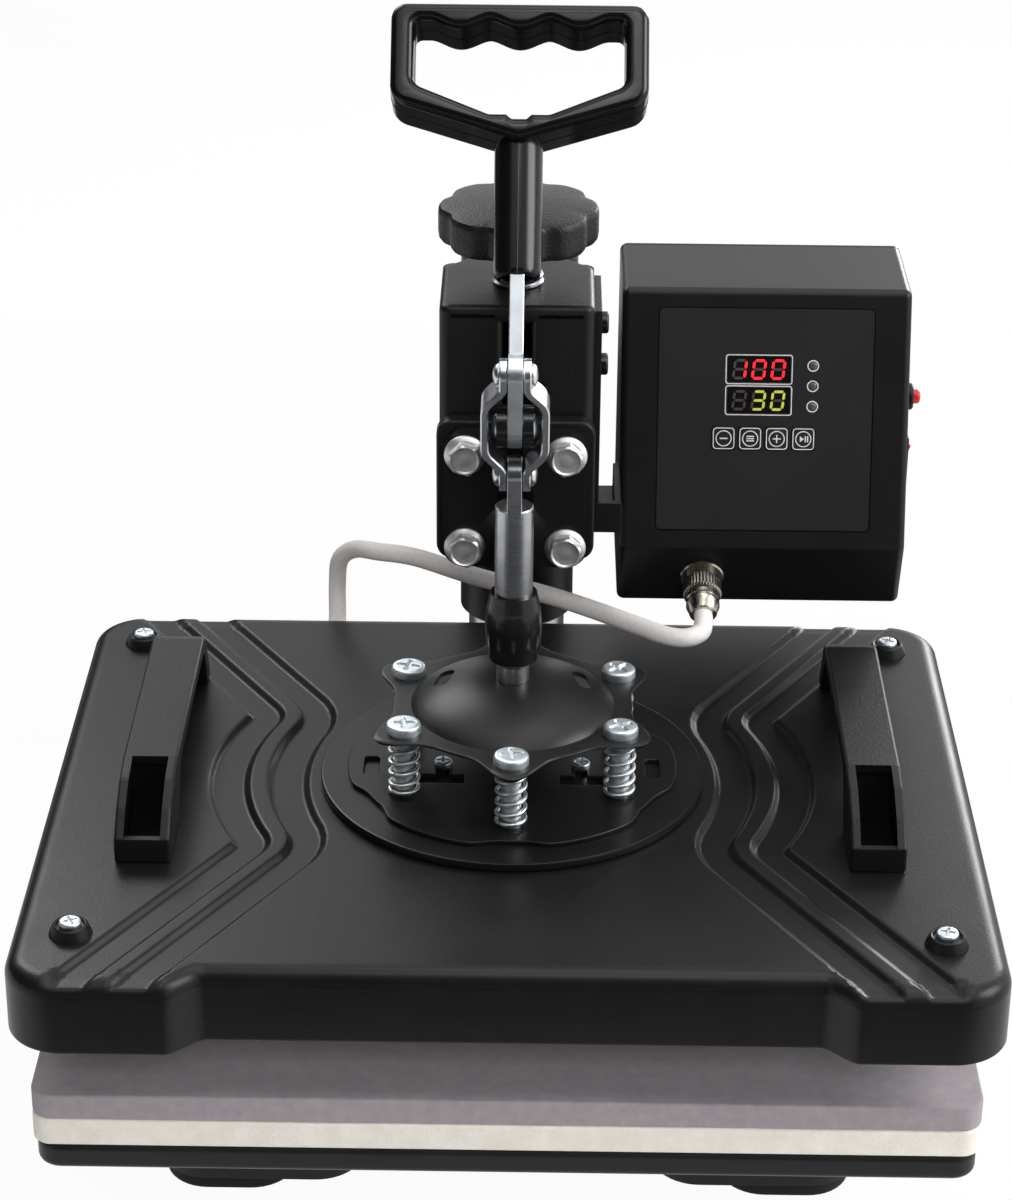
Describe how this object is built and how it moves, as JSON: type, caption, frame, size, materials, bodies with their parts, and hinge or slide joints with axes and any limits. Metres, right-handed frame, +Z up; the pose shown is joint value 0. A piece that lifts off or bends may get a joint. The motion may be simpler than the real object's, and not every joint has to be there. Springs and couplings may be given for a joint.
{
  "type": "combo heat press",
  "caption": "Swing-away heat press with a toggle lever, sprung upper platen, padded lower platen and a digital control case on its head.",
  "frame": {"origin": "centre of the plan box at table height", "axes": "+Z up, operator on the -Y side, control case on the +X side"},
  "size_m": [0.392, 0.414, 0.472],
  "materials": {
    "base_frame": "satin black powder coat",
    "rubber_feet": "moulded rubber",
    "pedestal": "satin black powder coat",
    "pedestal_bolts": "zinc plated",
    "lower_platen": "satin black paint on aluminium plate",
    "felt_pad": "needled white felt",
    "silicone_pad": "matt grey silicone foam",
    "post": "turned steel",
    "post_bolts": "zinc plated",
    "swing_sleeve": "satin black powder coat",
    "sleeve_cap": "satin black powder coat",
    "head_arm": "satin black powder coat",
    "head_box": "satin black powder coat",
    "screw_collar": "bright plated",
    "control_bracket": "satin black powder coat",
    "bracket_screws": "black oxide",
    "control_shell": "fine grained black",
    "control_back": "satin black",
    "panel_overlay": "printed film",
    "displays": "dark window with lit digits",
    "indicator_lamps": "clear tinted lens",
    "key_mode": "printed key",
    "key_up": "printed key",
    "key_down": "printed key",
    "key_start": "printed key",
    "rocker_bezel": "black",
    "power_rocker": "red",
    "reset_collar": "black",
    "reset_button": "red",
    "power_inlet": "black",
    "lead_socket": "nickel plated",
    "lead_plug": "nickel plated",
    "heater_lead": "woven glass sleeve",
    "slide_plate": "satin black",
    "screw_nut": "milled steel",
    "toggle_body": "gloss black paint on casting",
    "hex_bolts": "zinc plated",
    "pivot_pin": "zinc plated",
    "pressure_screw": "zinc plated",
    "knob_nut": "bright plated",
    "pressure_knob": "grained black",
    "lever_bar": "zinc plated flat bar",
    "handle_grip": "gloss black",
    "link_right": "zinc plated strip",
    "link_left": "zinc plated strip",
    "link_rivets": "zinc plated",
    "plunger_rod": "ground steel",
    "plunger_nut": "zinc plated",
    "star_plate": "satin black",
    "adapter_plate": "satin black",
    "adapter_screws": "zinc plated",
    "round_disc": "satin black",
    "shoulder_screws": "zinc plated",
    "springs": "spring wire",
    "heat_cover": "black satin paint on thin formed shell",
    "cover_screws": "zinc plated",
    "heating_plate": "non-stick coated",
    "side_handles": "heat resistant black",
    "lead_gland": "black bushing"
  },
  "bodies": {
    "base": {"base_frame": "base_frame", "rubber_feet": "rubber_feet", "pedestal": "pedestal", "pedestal_bolts": "pedestal_bolts", "lower_platen": "lower_platen", "felt_pad": "felt_pad", "silicone_pad": "silicone_pad", "post": "post", "post_bolts": "post_bolts"},
    "head": {"swing_sleeve": "swing_sleeve", "sleeve_cap": "sleeve_cap", "head_arm": "head_arm", "head_box": "head_box", "screw_collar": "screw_collar", "control_bracket": "control_bracket", "bracket_screws": "bracket_screws", "control_shell": "control_shell", "control_back": "control_back", "panel_overlay": "panel_overlay", "displays": "displays", "indicator_lamps": "indicator_lamps", "rocker_bezel": "rocker_bezel", "reset_collar": "reset_collar", "power_inlet": "power_inlet", "lead_socket": "lead_socket", "lead_plug": "lead_plug", "heater_lead": "heater_lead"},
    "adjuster": {"pressure_screw": "pressure_screw", "knob_nut": "knob_nut", "pressure_knob": "pressure_knob"},
    "carriage": {"slide_plate": "slide_plate", "screw_nut": "screw_nut", "toggle_body": "toggle_body", "hex_bolts": "hex_bolts", "pivot_pin": "pivot_pin"},
    "lever": {"lever_bar": "lever_bar", "handle_grip": "handle_grip"},
    "links": {"link_right": "link_right", "link_left": "link_left", "link_rivets": "link_rivets"},
    "plunger": {"plunger_rod": "plunger_rod", "plunger_nut": "plunger_nut", "star_plate": "star_plate"},
    "platen": {"adapter_plate": "adapter_plate", "adapter_screws": "adapter_screws", "round_disc": "round_disc", "shoulder_screws": "shoulder_screws", "springs": "springs", "heat_cover": "heat_cover", "cover_screws": "cover_screws", "heating_plate": "heating_plate", "side_handles": "side_handles", "lead_gland": "lead_gland"},
    "mode_key": {"key_mode": "key_mode"},
    "up_key": {"key_up": "key_up"},
    "down_key": {"key_down": "key_down"},
    "start_key": {"key_start": "key_start"},
    "rocker": {"power_rocker": "power_rocker"},
    "reset": {"reset_button": "reset_button"}
  },
  "joints": [
    {"name": "head_swing", "type": "hinge", "parent": "base", "child": "head", "pos_m": [0, 0.154, 0.24], "axis": [0, 0, 1], "continuous": true},
    {"name": "pressure_adjust", "type": "slide", "parent": "head", "child": "carriage", "axis": [0, 0, 1], "range_m": [0, 0.012]},
    {"name": "knob_turn", "type": "hinge", "parent": "head", "child": "adjuster", "pos_m": [0, 0.053, 0.36], "axis": [0, 0, 1], "range_deg": [-1440.01, 0]},
    {"name": "press_stroke", "type": "slide", "parent": "carriage", "child": "plunger", "axis": [0, 0, 1], "range_m": [-0.0315, 0]},
    {"name": "lever_pull", "type": "hinge", "parent": "carriage", "child": "lever", "pos_m": [0, -0.044, 0.322], "axis": [1, 0, 0], "range_deg": [0, 132.3]},
    {"name": "link_swing", "type": "hinge", "parent": "lever", "child": "links", "pos_m": [0, -0.044, 0.344], "axis": [1, 0, 0], "range_deg": [-111.04, 0]},
    {"name": "platen_float", "type": "slide", "parent": "plunger", "child": "platen", "axis": [0, 0, 1], "range_m": [0, 0.008], "stiffness_N_per_m": 20000, "springref_m": -0.006, "deforming": ["springs"]},
    {"name": "key_mode_press", "type": "slide", "parent": "head", "child": "mode_key", "axis": [0, 0.9609, -0.277], "range_m": [0, 0.0006], "stiffness_N_per_m": 700, "springref_m": -0.0002},
    {"name": "key_up_press", "type": "slide", "parent": "head", "child": "up_key", "axis": [0, 0.9609, -0.277], "range_m": [0, 0.0006], "stiffness_N_per_m": 700, "springref_m": -0.0002},
    {"name": "key_down_press", "type": "slide", "parent": "head", "child": "down_key", "axis": [0, 0.9609, -0.277], "range_m": [0, 0.0006], "stiffness_N_per_m": 700, "springref_m": -0.0002},
    {"name": "key_start_press", "type": "slide", "parent": "head", "child": "start_key", "axis": [0, 0.9609, -0.277], "range_m": [0, 0.0006], "stiffness_N_per_m": 700, "springref_m": -0.0002},
    {"name": "power_switch", "type": "hinge", "parent": "head", "child": "rocker", "pos_m": [0.1731, 0.087, 0.255], "axis": [0, 1, 0], "range_deg": [-20, 0]},
    {"name": "reset_press", "type": "slide", "parent": "head", "child": "reset", "axis": [-1, 0, 0], "range_m": [0, 0.002], "stiffness_N_per_m": 500, "springref_m": -0.001}
  ],
  "couplings": [
    {"joint": "knob_turn", "follows": "pressure_adjust", "rad_per_m": -2094.4},
    {"joint": "lever_pull", "follows": "press_stroke", "rad_per_m": -73.304},
    {"joint": "link_swing", "follows": "press_stroke", "rad_per_m": 61.524}
  ]
}
